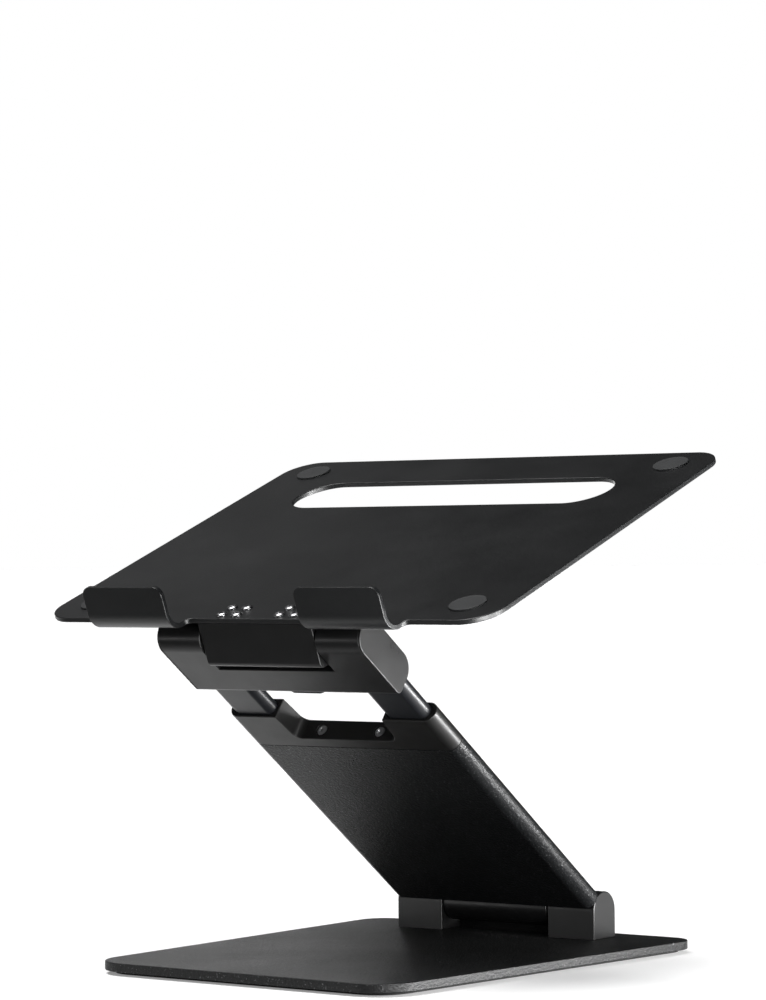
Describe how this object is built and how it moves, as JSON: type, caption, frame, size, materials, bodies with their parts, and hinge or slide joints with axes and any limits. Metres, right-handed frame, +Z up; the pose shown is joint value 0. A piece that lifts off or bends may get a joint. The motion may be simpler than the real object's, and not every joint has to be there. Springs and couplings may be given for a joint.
{
  "type": "laptop stand",
  "caption": "Sit-stand laptop stand: flat base plate, leaning oval arm on a friction hinge, sliding inner arms, and a slotted tilting tray with front hooks and round grip pads.",
  "frame": {"origin": "middle of the underside of the rubber mat under the base plate", "axes": "+Z up, +X along both hinge axes, and the tray's hooks face -Y"},
  "size_m": [0.274, 0.2539, 0.2542],
  "materials": {
    "base_coat": "fine-texture powder coat, satin",
    "sleeve_coat": "fine-texture powder coat, satin",
    "tray_coat": "fine powder coat, satin",
    "hinge_coat": "cast, fine dark coat, satin",
    "inner_arm_coat": "smooth dark coat, satin",
    "plastic": "moulded, satin",
    "rubber": "matt",
    "nylon": "matt",
    "steel": "zinc plated"
  },
  "bodies": {
    "base": {"base_plate": "base_coat", "base_mat": "rubber", "lug_l": "hinge_coat", "lug_r": "hinge_coat", "hinge_bridge": "hinge_coat", "lower_shaft": "steel", "lug_screw_l1": "steel", "lug_screw_l2": "steel", "lug_screw_r1": "steel", "lug_screw_r2": "steel"},
    "arm": {"arm_sleeve": "sleeve_coat", "arm_knuckle": "hinge_coat", "arm_collar": "plastic", "sleeve_core": "plastic", "lower_bush_l": "nylon", "lower_bush_r": "nylon", "collar_screw_l": "steel", "collar_screw_r": "steel"},
    "slider": {"hinge_block": "hinge_coat", "block_cap_l": "plastic", "block_cap_r": "plastic", "block_stop": "rubber", "inner_arm_l": "inner_arm_coat", "inner_arm_r": "inner_arm_coat", "slider_foot": "nylon", "upper_shaft": "steel", "block_screw_l": "steel", "block_screw_r": "steel", "foot_screw_l": "steel", "foot_screw_r": "steel"},
    "tray": {"tray_plate": "tray_coat", "tray_knuckle": "hinge_coat", "upper_bush_l": "nylon", "upper_bush_r": "nylon", "pad_front_l": "rubber", "pad_front_r": "rubber", "pad_rear_l": "rubber", "pad_rear_r": "rubber", "tray_screw_1": "steel", "tray_screw_2": "steel", "tray_screw_3": "steel", "tray_screw_4": "steel", "tray_screw_5": "steel", "tray_screw_6": "steel", "tray_screw_7": "steel", "tray_screw_8": "steel"}
  },
  "joints": [
    {"name": "arm_hinge", "type": "hinge", "parent": "base", "child": "arm", "pos_m": [0, 0.0985, 0.0204], "axis": [-1, 0, 0], "range_deg": [-28, 54]},
    {"name": "arm_slide", "type": "slide", "parent": "arm", "child": "slider", "axis": [0, -0.8049, 0.5934], "range_m": [-0.025, 0.05]},
    {"name": "tray_tilt", "type": "hinge", "parent": "slider", "child": "tray", "pos_m": [0, -0.09628, 0.16401], "axis": [1, 0, 0], "range_deg": [-50, 40]}
  ]
}
